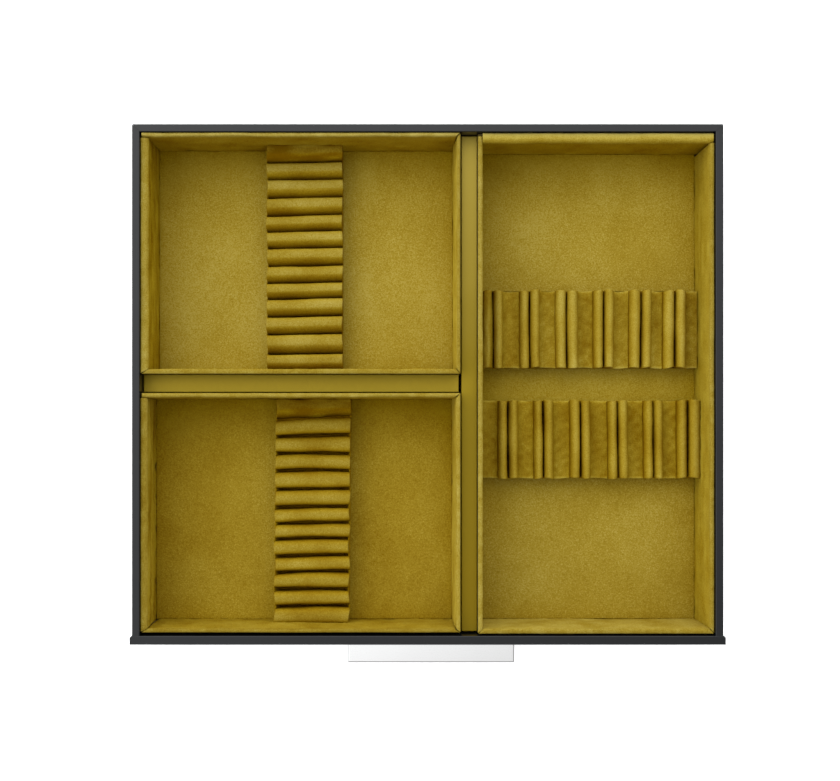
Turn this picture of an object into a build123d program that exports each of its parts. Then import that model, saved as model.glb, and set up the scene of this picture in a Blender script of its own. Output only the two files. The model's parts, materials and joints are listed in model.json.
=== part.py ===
from build123d import *
import os

os.makedirs("parts", exist_ok=True)

# Drawer with three lined trays, roll inserts and cufflink bars, on flat ball runners.
# Millimetres, +Z up, the front faces -Y.
# Origin: centre of the outline's footprint, at the underside of the fixed rails.

# ---- drawer box ----
front_w = 418.0          # front panel width
front_t = 6.2            # front panel thickness
body_w = 414.8           # outside width of the mitred body
wall_t = 5.4             # side and back thickness
z_rim = 70.0             # top of the drawer walls
z_front_low = 1.0        # lower edge of the front panel
z_side_low = 1.6         # lower edge of sides and back
y_front = -173.7         # outer face of the front panel
y_front_in = y_front + front_t
y_back = 191.5           # outer face of the back
y_back_in = y_back - wall_t
x_out = body_w / 2
x_in = x_out - wall_t
edge_r = 0.5             # eased edges of the lacquered panels
corner_in = 0.9          # the two rear outer corners are eased by this much each way
corner_mid = 0.26
mitre_line = 0.06        # set-back of each mitred face, which leaves a fine joint line
front_edge = 1.1         # chamfer on the front panel's rear vertical edges

# ---- bottom panel, held in a groove all round ----
bottom_z0 = 13.4
bottom_t = 4.0
groove_d = 2.0
bottom_gap = 0.1
bottom_top = bottom_z0 + bottom_t

# ---- dowels between the sides and the front ----
dowel_r = 1.5
dowel_len = 14.0
dowel_in_front = 4.0
dowel_z = (30.0, 58.0)

# ---- pull ----
pull_x = 3.3             # pull's middle, a little right of the panel's middle
pull_w = 120.5
pull_out = 17.8
pull_z0 = 29.5
pull_h = 12.0
pull_r = 0.9
pull_lip = 2.6           # front lip in front of the finger recess
pull_top_t = 3.2
pull_back_t = 6.8
pull_side_t = 3.5
pull_screw_dx = 40.0
screw_r = 1.9
screw_head_r = 3.7
screw_head_h = 2.0
screw_len = 12.4

# ---- dividers ----
div_z1 = 57.5
div_r = 0.7
long_x = (24.4, 35.5)
long_y = (-166.2, 185.7)
cross_x = (-201.6, 22.4)
cross_y = (3.75, 16.4)
div_screw_r = 1.5
div_screw_head_r = 3.0
div_screw_head_h = 1.5
div_screw_len = 14.0
long_screw_y = (-130.0, 10.0, 150.0)
cross_screw_x = (-170.0, -20.0)

# ---- flat ball runners, one each side under the bottom ----
run_x = 130.0            # middle of each runner
run_y = (-150.0, 190.0)
run_w = 17.5             # half width of the fixed rail
run_t = 1.3              # web thickness
rail_h = 11.2
ball_z = 6.8
ball_r = 1.8
race_r = 1.95            # groove that the balls roll in
race_face = 1.0          # flange face to ball centre
ball_x1 = 14.2           # outer ball row, from the runner's middle
ball_x2 = 9.3            # inner ball row
mid_z0 = 2.2
inner_z0 = 4.4
inner_x0 = 6.1
rail_hole_r = 2.2
rail_hole_y = (-110.0, 150.0)
cage_t = 0.7
cage_h = 5.0
cage_len = 110.0
balls_per_row = 6
member_screw_r = 1.5
member_screw_head_r = 2.9
member_screw_head_h = 1.2
member_screw_len = 4.4
member_screw_y = (-115.0, 20.0, 155.0)
notch_w = 40.0           # notches in the back for the runners

# ---- trays: outside x, outside y, inside x, inside y ----
trays = {
    "a": ((-201.6, 23.1), (16.7, 185.7), (-196.8, 19.9), (19.9, 183.0)),
    "b": ((-201.6, 23.1), (-165.6, 2.9), (-196.8, 19.4), (-163.0, -0.2)),
    "c": ((35.8, 201.6), (-166.3, 185.7), (38.9, 198.7), (-162.9, 180.6)),
}
tray_rim_z = 67.5
shell_t = 1.2
shell_base_t = 2.2
shell_top_z = 64.3
floor_z = 22.5           # top of the floor pads
seam = 0.3               # dark seam round each floor pad
pad_gap = 0.08
pad_top_r = 1.25

# ---- roll inserts in trays a and b ----
lift_gap = 0.3           # between a lift-out piece and what it stands on
board_t = 1.6
roll_top_z = 41.5
roll_gap = {"a": 0.35, "b": 1.1}   # half of each slit; the front insert's are wider
roll_r = 4.6
insert_a_x = (-115.7, -60.8)
insert_b_x = (-109.8, -55.6)
slits_a = (171.1, 158.5, 145.5, 132.7, 121.1, 108.8, 96.0, 83.6, 72.1, 59.2, 46.3, 32.0)
slits_b = (-14.45, -26.9, -39.9, -52.7, -65.6, -78.7, -90.4, -102.0, -114.0, -125.9, -138.2, -150.7)

# ---- cufflink bars in tray c ----
bar_roll_w = 6.8
bar_roll_top = 43.0
bar_roll_r = 3.0
bar_pad_top = 32.5
bar_slit = 0.9           # half of the slit between two paired rolls
rear_bar_y = (22.0, 78.1)
front_bar_y = (-58.3, -2.0)
rear_slits = (48.7, 75.2, 102.0, 128.7, 155.7, 180.5)
front_slits = (59.6, 84.8, 111.8, 138.9, 164.6, 189.9)


def box_of(x, y, z):
    """Adds a box from three spans to the current builder."""
    with Locations(((x[0] + x[1]) / 2, (y[0] + y[1]) / 2, (z[0] + z[1]) / 2)):
        Box(x[1] - x[0], y[1] - y[0], z[1] - z[0])


# ---------------------------------------------------------------- front panel
with BuildPart() as front_panel:
    with BuildSketch(Plane.XY.offset(z_front_low)):
        with BuildLine():
            Polyline(
                (-front_w / 2, y_front),
                (front_w / 2, y_front),
                (front_w / 2, y_front_in - front_edge),
                (front_w / 2 - front_edge, y_front_in),
                (-front_w / 2 + front_edge, y_front_in),
                (-front_w / 2, y_front_in - front_edge),
                close=True,
            )
        make_face()
    extrude(amount=z_rim - z_front_low)
    top = front_panel.faces().sort_by(Axis.Z)[-1]
    fillet(top.edges().filter_by(Axis.X), radius=edge_r)
    # groove for the bottom
    with BuildSketch(Plane.XY.offset(bottom_z0)):
        with Locations((0, y_front_in - groove_d / 2)):
            Rectangle(2 * (x_in + groove_d), groove_d)
    extrude(amount=bottom_t, mode=Mode.SUBTRACT)
    # countersunk clearance holes for the pull's screws
    with Locations(
        Location((pull_x - pull_screw_dx, y_front_in, pull_z0 + pull_h / 2), (-90, 0, 0)),
        Location((pull_x + pull_screw_dx, y_front_in, pull_z0 + pull_h / 2), (-90, 0, 0)),
    ):
        CounterSinkHole(radius=screw_r + 0.2, counter_sink_radius=screw_head_r + 0.1, depth=front_t)
    # dowel holes, one column behind each side
    for sx in (-1, 1):
        with BuildSketch(Plane.XZ.offset(-y_front_in)):
            with Locations(*[(sx * (x_out - wall_t / 2), z) for z in dowel_z]):
                Circle(dowel_r)
        extrude(amount=dowel_in_front, mode=Mode.SUBTRACT)
front_panel.part.label = "front_panel"
export_step(front_panel.part, "parts/front_panel.step")

# ---------------------------------------------------------------- sides
for side, sx in (("left", -1), ("right", 1)):
    with BuildPart() as side_panel:
        with BuildSketch(Plane.XY.offset(z_side_low)):
            with BuildLine():
                Polyline(
                    (sx * x_out, y_front_in),
                    (sx * x_out, y_back - corner_in),
                    (sx * (x_out - corner_mid), y_back - corner_mid - mitre_line),
                    (sx * x_in, y_back_in - mitre_line),
                    (sx * x_in, y_front_in),
                    close=True,
                )
            make_face()
        extrude(amount=z_rim - z_side_low)
        top = side_panel.faces().sort_by(Axis.Z)[-1]
        fillet(top.edges().filter_by(Axis.Y), radius=edge_r)
        with BuildSketch(Plane.XY.offset(bottom_z0)):
            with Locations((sx * (x_in + groove_d / 2), (y_front_in + y_back_in + groove_d) / 2)):
                Rectangle(groove_d, y_back_in + groove_d - y_front_in)
        extrude(amount=bottom_t, mode=Mode.SUBTRACT)
        with BuildSketch(Plane.XZ.offset(-y_front_in)):
            with Locations(*[(sx * (x_out - wall_t / 2), z) for z in dowel_z]):
                Circle(dowel_r)
        extrude(amount=-(dowel_len - dowel_in_front), mode=Mode.SUBTRACT)
    side_panel.part.label = side + "_side"
    export_step(side_panel.part, "parts/" + side + "_side.step")

# ---------------------------------------------------------------- back, notched for the runners
with BuildPart() as back_panel:
    with BuildSketch(Plane.XY.offset(z_side_low)):
        with BuildLine():
            Polyline(
                (-x_out + corner_in, y_back),
                (x_out - corner_in, y_back),
                (x_out - corner_mid - mitre_line, y_back - corner_mid),
                (x_in - mitre_line, y_back_in),
                (-x_in + mitre_line, y_back_in),
                (-x_out + corner_mid + mitre_line, y_back - corner_mid),
                close=True,
            )
        make_face()
    extrude(amount=z_rim - z_side_low)
    top = back_panel.faces().sort_by(Axis.Z)[-1]
    fillet(top.edges().filter_by(Axis.X), radius=edge_r)
    with BuildSketch(Plane.XY.offset(bottom_z0)):
        with Locations((0, y_back_in + groove_d / 2)):
            Rectangle(2 * (x_in + groove_d), groove_d)
    extrude(amount=bottom_t, mode=Mode.SUBTRACT)
    with BuildSketch(Plane.XY.offset(z_side_low)):
        with Locations((-run_x, y_back - wall_t / 2), (run_x, y_back - wall_t / 2)):
            Rectangle(notch_w, wall_t + 2)
    extrude(amount=bottom_z0 - z_side_low, mode=Mode.SUBTRACT)
back_panel.part.label = "back_panel"
export_step(back_panel.part, "parts/back_panel.step")

# ---------------------------------------------------------------- bottom
bx = x_in + groove_d - bottom_gap
by0 = y_front_in - groove_d + bottom_gap
by1 = y_back_in + groove_d - bottom_gap
with BuildPart() as bottom_panel:
    with BuildSketch(Plane.XY.offset(bottom_z0)):
        with Locations((0, (by0 + by1) / 2)):
            Rectangle(2 * bx, by1 - by0)
    extrude(amount=bottom_t)
    divider_points = [((long_x[0] + long_x[1]) / 2, y) for y in long_screw_y]
    divider_points += [(x, (cross_y[0] + cross_y[1]) / 2) for x in cross_screw_x]
    with Locations(*[Location((x, y, bottom_z0), (180, 0, 0)) for x, y in divider_points]):
        CounterSinkHole(radius=div_screw_r + 0.2, counter_sink_radius=div_screw_head_r + 0.1, depth=bottom_t)
    with BuildSketch(Plane.XY.offset(bottom_z0)):
        with Locations(*[(s * run_x, y) for s in (-1, 1) for y in member_screw_y]):
            Circle(member_screw_r)
    extrude(amount=member_screw_len - run_t, mode=Mode.SUBTRACT)
bottom_panel.part.label = "bottom_panel"
export_step(bottom_panel.part, "parts/bottom_panel.step")

# ---------------------------------------------------------------- dowels
with BuildPart() as side_dowels:
    with BuildSketch(Plane.XZ.offset(-(y_front_in - dowel_in_front))):
        with Locations(*[(sx * (x_out - wall_t / 2), z) for sx in (-1, 1) for z in dowel_z]):
            Circle(dowel_r)
    extrude(amount=-dowel_len)
side_dowels.part.label = "side_dowels"
export_step(side_dowels.part, "parts/side_dowels.step")

# ---------------------------------------------------------------- pull with a finger recess below
with BuildPart() as drawer_pull:
    box_of(
        (pull_x - pull_w / 2, pull_x + pull_w / 2),
        (y_front - pull_out, y_front),
        (pull_z0, pull_z0 + pull_h),
    )
    front_face = drawer_pull.faces().sort_by(Axis.Y)[0]
    fillet(front_face.edges() + drawer_pull.edges().filter_by(Axis.Y), radius=pull_r)
    with BuildSketch(Plane.XY.offset(pull_z0)):
        with Locations((pull_x, (y_front - pull_out + pull_lip + y_front - pull_back_t) / 2)):
            RectangleRounded(pull_w - 2 * pull_side_t, pull_out - pull_lip - pull_back_t, 2.0)
    extrude(amount=pull_h - pull_top_t, mode=Mode.SUBTRACT)
    with BuildSketch(Plane.XZ.offset(-y_front)):
        with Locations(
            (pull_x - pull_screw_dx, pull_z0 + pull_h / 2),
            (pull_x + pull_screw_dx, pull_z0 + pull_h / 2),
        ):
            Circle(screw_r)
    extrude(amount=screw_len - front_t, mode=Mode.SUBTRACT)
drawer_pull.part.label = "drawer_pull"
export_step(drawer_pull.part, "parts/drawer_pull.step")

# ---------------------------------------------------------------- screws that hold the pull
with BuildPart() as pull_screws:
    with BuildSketch(Plane.XZ):
        Circle(screw_r)
    extrude(amount=screw_len)
    with BuildSketch(Plane.XZ):
        Circle(screw_head_r)
    extrude(amount=screw_head_h, taper=42)
    with Locations((0, 0, 0)):
        Box(0.9, 1.6, 4.2, mode=Mode.SUBTRACT)
one_screw = pull_screws.part
pull_screw_set = Compound(
    children=[
        Pos(pull_x - pull_screw_dx, y_front_in, pull_z0 + pull_h / 2) * one_screw,
        Pos(pull_x + pull_screw_dx, y_front_in, pull_z0 + pull_h / 2) * one_screw,
    ]
)
pull_screw_set.label = "pull_screws"
export_step(pull_screw_set, "parts/pull_screws.step")

# ---------------------------------------------------------------- dividers
with BuildPart() as long_divider:
    box_of(long_x, long_y, (bottom_top, div_z1))
    top = long_divider.faces().sort_by(Axis.Z)[-1]
    fillet(top.edges(), radius=div_r)
    with BuildSketch(Plane.XY.offset(bottom_top)):
        with Locations(*[((long_x[0] + long_x[1]) / 2, y) for y in long_screw_y]):
            Circle(div_screw_r)
    extrude(amount=div_screw_len - bottom_t, mode=Mode.SUBTRACT)
long_divider.part.label = "long_divider"
export_step(long_divider.part, "parts/long_divider.step")

with BuildPart() as cross_divider:
    box_of(cross_x, cross_y, (bottom_top, div_z1))
    top = cross_divider.faces().sort_by(Axis.Z)[-1]
    fillet(top.edges(), radius=div_r)
    with BuildSketch(Plane.XY.offset(bottom_top)):
        with Locations(*[(x, (cross_y[0] + cross_y[1]) / 2) for x in cross_screw_x]):
            Circle(div_screw_r)
    extrude(amount=div_screw_len - bottom_t, mode=Mode.SUBTRACT)
cross_divider.part.label = "cross_divider"
export_step(cross_divider.part, "parts/cross_divider.step")

# ---------------------------------------------------------------- screws up into the dividers
with BuildPart() as divider_screw:
    with BuildSketch(Plane.XY):
        Circle(div_screw_r)
    extrude(amount=div_screw_len)
    with BuildSketch(Plane.XY):
        Circle(div_screw_head_r)
    extrude(amount=div_screw_head_h, taper=45 * 0.98)
    Box(0.8, 3.6, 1.2, mode=Mode.SUBTRACT)
divider_screws = Compound(
    children=[Pos(x, y, bottom_z0) * divider_screw.part for x, y in divider_points]
)
divider_screws.label = "divider_screws"
export_step(divider_screws, "parts/divider_screws.step")

# ---------------------------------------------------------------- runners
rail_len = run_y[1] - run_y[0]
outer_face = ball_x1 + race_face
mid_out = ball_x1 - race_face
mid_in = ball_x2 + race_face
inner_out = ball_x2 - race_face
for side, sx in (("left", -1), ("right", 1)):
    cx = sx * run_x
    # fixed rail: a channel open to the top with a ball groove inside each flange
    with BuildPart() as fixed_rail:
        with BuildSketch(Plane.XZ.offset(-run_y[0])):
            with Locations((cx, rail_h / 2)):
                Rectangle(2 * run_w, rail_h)
            with Locations((cx, run_t + rail_h / 2)):
                Rectangle(2 * outer_face, rail_h, mode=Mode.SUBTRACT)
            with Locations((cx - ball_x1, ball_z), (cx + ball_x1, ball_z)):
                Circle(race_r, mode=Mode.SUBTRACT)
        extrude(amount=-rail_len)
        with BuildSketch(Plane.XY):
            with Locations(*[(cx, y) for y in rail_hole_y]):
                Circle(rail_hole_r)
        extrude(amount=run_t, mode=Mode.SUBTRACT)
    fixed_rail.part.label = side + "_fixed_rail"
    export_step(fixed_rail.part, "parts/" + side + "_fixed_rail.step")

    # middle member: the same channel, grooved on both sides of each flange
    with BuildPart() as middle_member:
        with BuildSketch(Plane.XZ.offset(-run_y[0])):
            with Locations((cx, (mid_z0 + rail_h) / 2)):
                Rectangle(2 * mid_out, rail_h - mid_z0)
            with Locations((cx, mid_z0 + run_t + rail_h / 2)):
                Rectangle(2 * mid_in, rail_h, mode=Mode.SUBTRACT)
            with Locations(
                (cx - ball_x1, ball_z), (cx + ball_x1, ball_z),
                (cx - ball_x2, ball_z), (cx + ball_x2, ball_z),
            ):
                Circle(race_r, mode=Mode.SUBTRACT)
        extrude(amount=-rail_len)
    middle_member.part.label = side + "_middle_member"
    export_step(middle_member.part, "parts/" + side + "_middle_member.step")

    # drawer member: a channel open to the bottom, screwed under the drawer's bottom
    with BuildPart() as drawer_member:
        with BuildSketch(Plane.XZ.offset(-run_y[0])):
            with Locations((cx, (inner_z0 + bottom_z0) / 2)):
                Rectangle(2 * inner_out, bottom_z0 - inner_z0)
            with Locations((cx, inner_z0 + (bottom_z0 - run_t - inner_z0) / 2)):
                Rectangle(2 * inner_x0, bottom_z0 - run_t - inner_z0, mode=Mode.SUBTRACT)
            with Locations((cx - ball_x2, ball_z), (cx + ball_x2, ball_z)):
                Circle(race_r, mode=Mode.SUBTRACT)
        extrude(amount=-rail_len)
        with BuildSketch(Plane.XY.offset(bottom_z0 - run_t)):
            with Locations(*[(cx, y) for y in member_screw_y]):
                Circle(member_screw_r)
        extrude(amount=run_t, mode=Mode.SUBTRACT)
    drawer_member.part.label = side + "_drawer_member"
    export_step(drawer_member.part, "parts/" + side + "_drawer_member.step")

    # ball cages: the outer pair at the rear, the inner pair at the front
    with BuildPart() as cages:
        for bxx, y0 in ((ball_x1, run_y[1] - cage_len - 6), (ball_x2, run_y[0] + 6)):
            for s in (-1, 1):
                xc = cx + s * bxx
                box_of(
                    (xc - cage_t / 2, xc + cage_t / 2),
                    (y0, y0 + cage_len),
                    (ball_z - cage_h / 2, ball_z + cage_h / 2),
                )
                pitch = cage_len / balls_per_row
                ys = [y0 + pitch * (i + 0.5) for i in range(balls_per_row)]
                with Locations(*[Location((xc, y, ball_z), (0, 90, 0)) for y in ys]):
                    Cylinder(ball_r + 0.12, cage_t * 3, mode=Mode.SUBTRACT)
                with Locations(*[(xc, y, ball_z) for y in ys]):
                    Sphere(ball_r)
    cages.part.label = side + "_ball_cages"
    export_step(cages.part, "parts/" + side + "_ball_cages.step")

# ---------------------------------------------------------------- screws up through the drawer members
with BuildPart() as runner_screws:
    with BuildSketch(Plane.XY.offset(bottom_z0 - run_t)):
        with Locations(*[(s * run_x, y) for s in (-1, 1) for y in member_screw_y]):
            Circle(member_screw_r)
    extrude(amount=member_screw_len)
    with BuildSketch(Plane.XY.offset(bottom_z0 - run_t)):
        with Locations(*[(s * run_x, y) for s in (-1, 1) for y in member_screw_y]):
            Circle(member_screw_head_r)
    extrude(amount=-member_screw_head_h)
    with Locations(
        *[(s * run_x, y, bottom_z0 - run_t - member_screw_head_h) for s in (-1, 1) for y in member_screw_y]
    ):
        Box(0.8, 4.0, 1.0, mode=Mode.SUBTRACT)
runner_screws.part.label = "runner_screws"
export_step(runner_screws.part, "parts/runner_screws.step")

# ---------------------------------------------------------------- trays
shell_z0 = bottom_top
pad_z0 = shell_z0 + shell_base_t
for key, (ox, oy, ix, iy) in trays.items():
    # thin board tray that stands on the drawer's bottom
    with BuildPart() as shell:
        box_of(ox, oy, (shell_z0, shell_top_z))
        with BuildSketch(Plane.XY.offset(pad_z0)):
            with Locations(((ox[0] + ox[1]) / 2, (oy[0] + oy[1]) / 2)):
                Rectangle(ox[1] - ox[0] - 2 * shell_t, oy[1] - oy[0] - 2 * shell_t)
        extrude(amount=shell_top_z - pad_z0, mode=Mode.SUBTRACT)
    shell.part.label = "tray_" + key + "_shell"
    export_step(shell.part, "parts/tray_" + key + "_shell.step")

    # floor pad, with a narrow seam to the wall pads
    with BuildPart() as floor_pad:
        box_of(
            (ix[0] + seam, ix[1] - seam),
            (iy[0] + seam, iy[1] - seam),
            (pad_z0, floor_z),
        )
        top = floor_pad.faces().sort_by(Axis.Z)[-1]
        fillet(top.edges(), radius=0.8)
    floor_pad.part.label = "tray_" + key + "_floor_pad"
    export_step(floor_pad.part, "parts/tray_" + key + "_floor_pad.step")

    # wall pads, mitred at the corners, folded over the shell's rim
    o = [(ox[0], oy[0]), (ox[1], oy[0]), (ox[1], oy[1]), (ox[0], oy[1])]
    n = [(ix[0], iy[0]), (ix[1], iy[0]), (ix[1], iy[1]), (ix[0], iy[1])]
    walls = {
        "front": (o[0], o[1], n[1], n[0]),
        "right": (o[1], o[2], n[2], n[1]),
        "rear": (o[2], o[3], n[3], n[2]),
        "left": (o[3], o[0], n[0], n[3]),
    }
    for wall, (p0, p1, p2, p3) in walls.items():
        along_x = wall in ("front", "rear")
        with BuildPart() as wall_pad:
            with BuildSketch(Plane.XY.offset(pad_z0)):
                with BuildLine():
                    if along_x:
                        g = pad_gap if p1[0] > p0[0] else -pad_gap
                        Polyline(
                            (p0[0] + g, p0[1]), (p1[0] - g, p1[1]), (p2[0] - g, p2[1]), (p3[0] + g, p3[1]),
                            close=True,
                        )
                    else:
                        g = pad_gap if p1[1] > p0[1] else -pad_gap
                        Polyline(
                            (p0[0], p0[1] + g), (p1[0], p1[1] - g), (p2[0], p2[1] - g), (p3[0], p3[1] + g),
                            close=True,
                        )
                make_face()
            extrude(amount=tray_rim_z - pad_z0)
            top = wall_pad.faces().sort_by(Axis.Z)[-1]
            thick = abs((p3[1] - p0[1]) if along_x else (p3[0] - p0[0]))
            fillet(top.edges().filter_by(Axis.X if along_x else Axis.Y), radius=min(pad_top_r, thick / 2 - 0.15))
            # room for the shell's wall below the fold
            with BuildSketch(Plane.XY.offset(pad_z0)):
                with Locations(((ox[0] + ox[1]) / 2, (oy[0] + oy[1]) / 2)):
                    Rectangle(ox[1] - ox[0] + 2, oy[1] - oy[0] + 2)
                    Rectangle(
                        ox[1] - ox[0] - 2 * shell_t, oy[1] - oy[0] - 2 * shell_t, mode=Mode.SUBTRACT
                    )
            extrude(amount=shell_top_z - pad_z0, mode=Mode.SUBTRACT)
        wall_pad.part.label = "tray_" + key + "_" + wall + "_pad"
        export_step(wall_pad.part, "parts/tray_" + key + "_" + wall + "_pad.step")

# ---------------------------------------------------------------- roll inserts
board_z0 = floor_z + lift_gap
board_z1 = board_z0 + board_t
for key, span_x, slits in (("a", insert_a_x, slits_a), ("b", insert_b_x, slits_b)):
    iy = trays[key][3]
    y0, y1 = iy[0] + 0.5, iy[1] - 0.5
    with BuildPart() as board:
        box_of((span_x[0] + 0.6, span_x[1] - 0.6), (y0, y1), (board_z0, board_z1))
    board.part.label = "insert_" + key + "_board"
    export_step(board.part, "parts/insert_" + key + "_board.step")

    gap = roll_gap[key]
    marks = [y1 + gap] + list(slits) + [y0 - gap]
    with BuildPart() as rolls:
        for hi, lo in zip(marks[:-1], marks[1:]):
            with BuildSketch(Plane.YZ.offset(span_x[0])):
                with Locations(((hi + lo) / 2, (board_z1 + roll_top_z) / 2)):
                    r = Rectangle(hi - lo - 2 * gap, roll_top_z - board_z1)
                fillet(r.vertices().group_by(Axis.Z)[-1], radius=roll_r)
            extrude(amount=span_x[1] - span_x[0])
    rolls.part.label = "insert_" + key + "_rolls"
    export_step(rolls.part, "parts/insert_" + key + "_rolls.step")

# ---------------------------------------------------------------- cufflink bars
ix = trays["c"][2]
bar_x = (ix[0] + 0.5, ix[1] - 0.5)
for name, span_y, slits in (("rear", rear_bar_y, rear_slits), ("front", front_bar_y, front_slits)):
    with BuildPart() as bar_board:
        box_of(bar_x, (span_y[0] + 0.6, span_y[1] - 0.6), (board_z0, board_z1))
    bar_board.part.label = name + "_bar_board"
    export_step(bar_board.part, "parts/" + name + "_bar_board.step")

    # two rolls beside each slit
    edges = []
    for s in slits:
        edges.append((s - bar_slit / 2 - bar_roll_w, s - bar_slit / 2))
        edges.append((s + bar_slit / 2, s + bar_slit / 2 + bar_roll_w))
    edges = [(max(a, bar_x[0]), min(b, bar_x[1])) for a, b in edges]
    with BuildPart() as bar_rolls:
        for a, b in edges:
            with BuildSketch(Plane.XZ.offset(-span_y[0])):
                with Locations(((a + b) / 2, (board_z1 + bar_roll_top) / 2)):
                    r = Rectangle(b - a, bar_roll_top - board_z1)
                fillet(r.vertices().group_by(Axis.Z)[-1], radius=min(bar_roll_r, (b - a) / 2 - 0.1))
            extrude(amount=-(span_y[1] - span_y[0]))
    bar_rolls.part.label = name + "_bar_rolls"
    export_step(bar_rolls.part, "parts/" + name + "_bar_rolls.step")

    # flat pads between the pairs
    gaps = [(bar_x[0], edges[0][0])]
    gaps += [(edges[i][1], edges[i + 1][0]) for i in range(1, len(edges) - 1, 2)]
    gaps += [(edges[-1][1], bar_x[1])]
    gaps = [(a + 0.1, b - 0.1) for a, b in gaps if b - a > 1.5]
    with BuildPart() as bar_pads:
        for a, b in gaps:
            box_of((a, b), span_y, (board_z1, bar_pad_top))
    bar_pads.part.label = name + "_bar_pads"
    export_step(bar_pads.part, "parts/" + name + "_bar_pads.step")
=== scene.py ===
import json
import math

import bpy
import numpy as np
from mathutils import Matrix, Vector


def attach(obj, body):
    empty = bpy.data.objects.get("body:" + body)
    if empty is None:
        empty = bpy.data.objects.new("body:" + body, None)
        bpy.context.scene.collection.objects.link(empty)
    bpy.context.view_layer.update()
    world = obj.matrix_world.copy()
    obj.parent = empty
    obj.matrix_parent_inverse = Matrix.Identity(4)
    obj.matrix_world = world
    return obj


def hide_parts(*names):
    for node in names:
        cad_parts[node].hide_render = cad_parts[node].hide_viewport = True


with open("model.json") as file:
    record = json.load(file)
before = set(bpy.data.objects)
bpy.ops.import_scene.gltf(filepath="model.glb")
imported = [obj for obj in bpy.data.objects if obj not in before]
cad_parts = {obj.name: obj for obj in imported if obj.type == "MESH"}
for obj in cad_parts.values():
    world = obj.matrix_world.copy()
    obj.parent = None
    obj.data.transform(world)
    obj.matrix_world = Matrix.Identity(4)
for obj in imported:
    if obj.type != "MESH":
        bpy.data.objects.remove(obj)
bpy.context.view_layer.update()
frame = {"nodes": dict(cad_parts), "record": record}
nodes = frame["nodes"]


MM = 0.001


# ------------------------------------------------------------------ small helpers
def waves(seed, length, n=12, stretch=(1.0, 1.0, 1.0)):
    """A smooth random field of about unit spread; length is its main wavelength in mm."""
    r = np.random.default_rng(seed)
    d = r.normal(size=(n, 3))
    d /= np.linalg.norm(d, axis=1)[:, None]
    k = 2 * math.pi / (length * r.uniform(0.65, 1.7, n))
    ph = r.uniform(0, 2 * math.pi, n)
    K = d * k[:, None] / np.array(stretch)

    def field(P):
        return np.sin(np.asarray(P) @ K.T + ph).sum(-1) / math.sqrt(n / 2)

    return field


def rounded(poly, radii, step=3.0, seg=6):
    """Points along a closed polygon with rounded corners, with its outward normals."""
    pts = []
    n = len(poly)
    P = np.array(poly, float)
    arcs = []
    for i in range(n):
        a, b, c = P[i - 1], P[i], P[(i + 1) % n]
        u, v = (a - b) / np.linalg.norm(a - b), (c - b) / np.linalg.norm(c - b)
        ang = math.acos(np.clip(u @ v, -1, 1))
        t = radii[i] / math.tan(ang / 2)
        t = min(t, 0.49 * np.linalg.norm(a - b), 0.49 * np.linalg.norm(c - b))
        r = t * math.tan(ang / 2)
        m = (u + v) / np.linalg.norm(u + v)
        centre = b + m * r / math.sin(ang / 2)
        p0, p1 = b + u * t, b + v * t
        a0 = math.atan2(*(p0 - centre)[::-1])
        a1 = math.atan2(*(p1 - centre)[::-1])
        da = (a1 - a0 + math.pi) % (2 * math.pi) - math.pi
        arcs.append([centre + r * np.array((math.cos(a0 + da * j / seg), math.sin(a0 + da * j / seg))) for j in range(seg + 1)])
    for i in range(n):
        pts += arcs[i]
        p, q = arcs[i][-1], arcs[(i + 1) % n][0]
        m = int(np.linalg.norm(q - p) // step)
        pts += [p + (q - p) * j / (m + 1) for j in range(1, m + 1)]
    return np.array(pts)


def loop_normals(L):
    """Outward normals of a closed loop of 2-D points, whichever way it runs."""
    d = np.roll(L, -1, 0) - np.roll(L, 1, 0)
    N = np.stack([d[:, 1], -d[:, 0]], 1)
    N /= np.maximum(np.linalg.norm(N, axis=1), 1e-9)[:, None]
    area = 0.5 * np.sum(L[:, 0] * np.roll(L[:, 1], -1) - np.roll(L[:, 0], -1) * L[:, 1])
    return N if area > 0 else -N


def mesh_of(name, V, faces, material, nap_and_painted_light=None, painted_shade=None, painted_dim=None, smooth=True):
    me = bpy.data.meshes.new(name)
    me.from_pydata((np.asarray(V) * MM).tolist(), [], faces)
    me.validate()
    me.update()
    if smooth:
        me.polygons.foreach_set("use_smooth", [True] * len(me.polygons))
    for key, values in (("nap_and_painted_light", nap_and_painted_light), ("painted_shade", painted_shade), ("painted_dim", painted_dim)):
        if values is not None:
            a = me.attributes.new(key, "FLOAT", "POINT")
            a.data.foreach_set("value", np.asarray(values, np.float32).reshape(-1))
    me.materials.append(material)
    o = bpy.data.objects.new(name, me)
    bpy.context.scene.collection.objects.link(o)
    return o


def tube_faces(m, n, flip):
    """Quads of m rings of n points, with an n-gon at each end."""
    f = []
    for j in range(m - 1):
        for i in range(n):
            a, b = j * n + i, j * n + (i + 1) % n
            q = [a, b, b + n, a + n]
            f.append(q[::-1] if flip else q)
    first, last = list(range(n)), list(range((m - 1) * n, m * n))
    f.append(first if flip else first[::-1])
    f.append(last[::-1] if flip else last)
    return f


def signed_volume(V, faces):
    V = np.asarray(V)
    total = 0.0
    for f in faces:
        p = V[f[0]]
        for i in range(1, len(f) - 1):
            total += p @ np.cross(V[f[i]], V[f[i + 1]])
    return total


def tube(name, R, material, nap_and_painted_light=None, painted_shade=None, painted_dim=None):
    """A closed mesh from rings R, shape (stations, points, 3)."""
    m, n, _ = R.shape
    V = R.reshape(-1, 3)
    f = tube_faces(m, n, False)
    if signed_volume(V, f) < 0:
        f = tube_faces(m, n, True)
    o = mesh_of(name, V, f, material, nap_and_painted_light, painted_shade, painted_dim)
    for p in o.data.polygons:
        if len(p.vertices) > 4:
            p.use_smooth = False
    return o


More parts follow.
